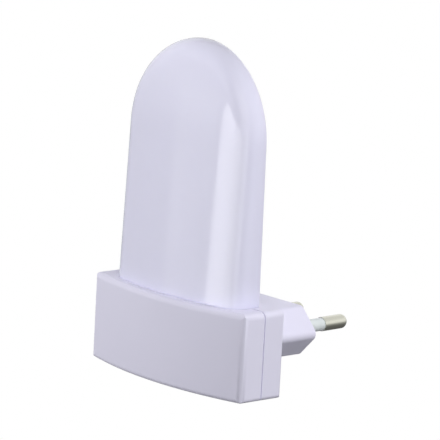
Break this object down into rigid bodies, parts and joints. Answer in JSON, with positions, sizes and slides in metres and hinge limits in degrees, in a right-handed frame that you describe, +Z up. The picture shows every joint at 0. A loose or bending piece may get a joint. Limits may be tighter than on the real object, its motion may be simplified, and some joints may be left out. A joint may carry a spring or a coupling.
{
  "type": "plug-in night light",
  "caption": "Wall plug night light: bowed two-part housing with a moulded two-pin plug behind and a tall arched opal diffuser standing on top, LED board inside",
  "frame": {"origin": "centre of the plug's end face, midway between the two pins", "axes": "+Y out of the plug's end face into the wall socket, +Z up, +X to the right as seen from the room"},
  "size_m": [0.0618, 0.062, 0.0926],
  "materials": {
    "housing_plastic": "satin white with a lavender cast",
    "opal_diffuser": "glossy opal",
    "plated_brass": "nickel-plated brass",
    "sleeve_plastic": "smooth, slightly translucent",
    "carrier_plastic": "natural",
    "blue_insulation": "smooth PVC",
    "brown_insulation": "smooth PVC",
    "board_laminate": "white solder mask on glass laminate",
    "led_body": "phosphor in a white body",
    "capacitor_case": "moulded box",
    "can_sleeve": "shrink sleeve on an aluminium can",
    "moulded_epoxy": "moulded epoxy",
    "resistor_green": "lacquer",
    "resistor_tan": "lacquer",
    "resistor_blue": "lacquer",
    "solder": "tin solder",
    "screw_steel": "zinc-plated steel"
  },
  "bodies": {
    "root": {"front_shell": "housing_plastic", "back_cover": "housing_plastic", "diffuser": "opal_diffuser", "pin_left": "plated_brass", "pin_right": "plated_brass", "sleeve_left": "sleeve_plastic", "sleeve_right": "sleeve_plastic", "pin_carrier": "carrier_plastic", "lead_left": "blue_insulation", "lead_right": "brown_insulation", "circuit_board": "board_laminate", "led_1": "led_body", "led_2": "led_body", "led_3": "led_body", "led_4": "led_body", "mains_capacitor": "capacitor_case", "smoothing_capacitor": "can_sleeve", "bridge_rectifier": "moulded_epoxy", "fusible_resistor": "resistor_green", "bleed_resistor": "resistor_tan", "current_resistor": "resistor_blue", "solder_joints": "solder", "housing_screws": "screw_steel"}
  },
  "joints": []
}
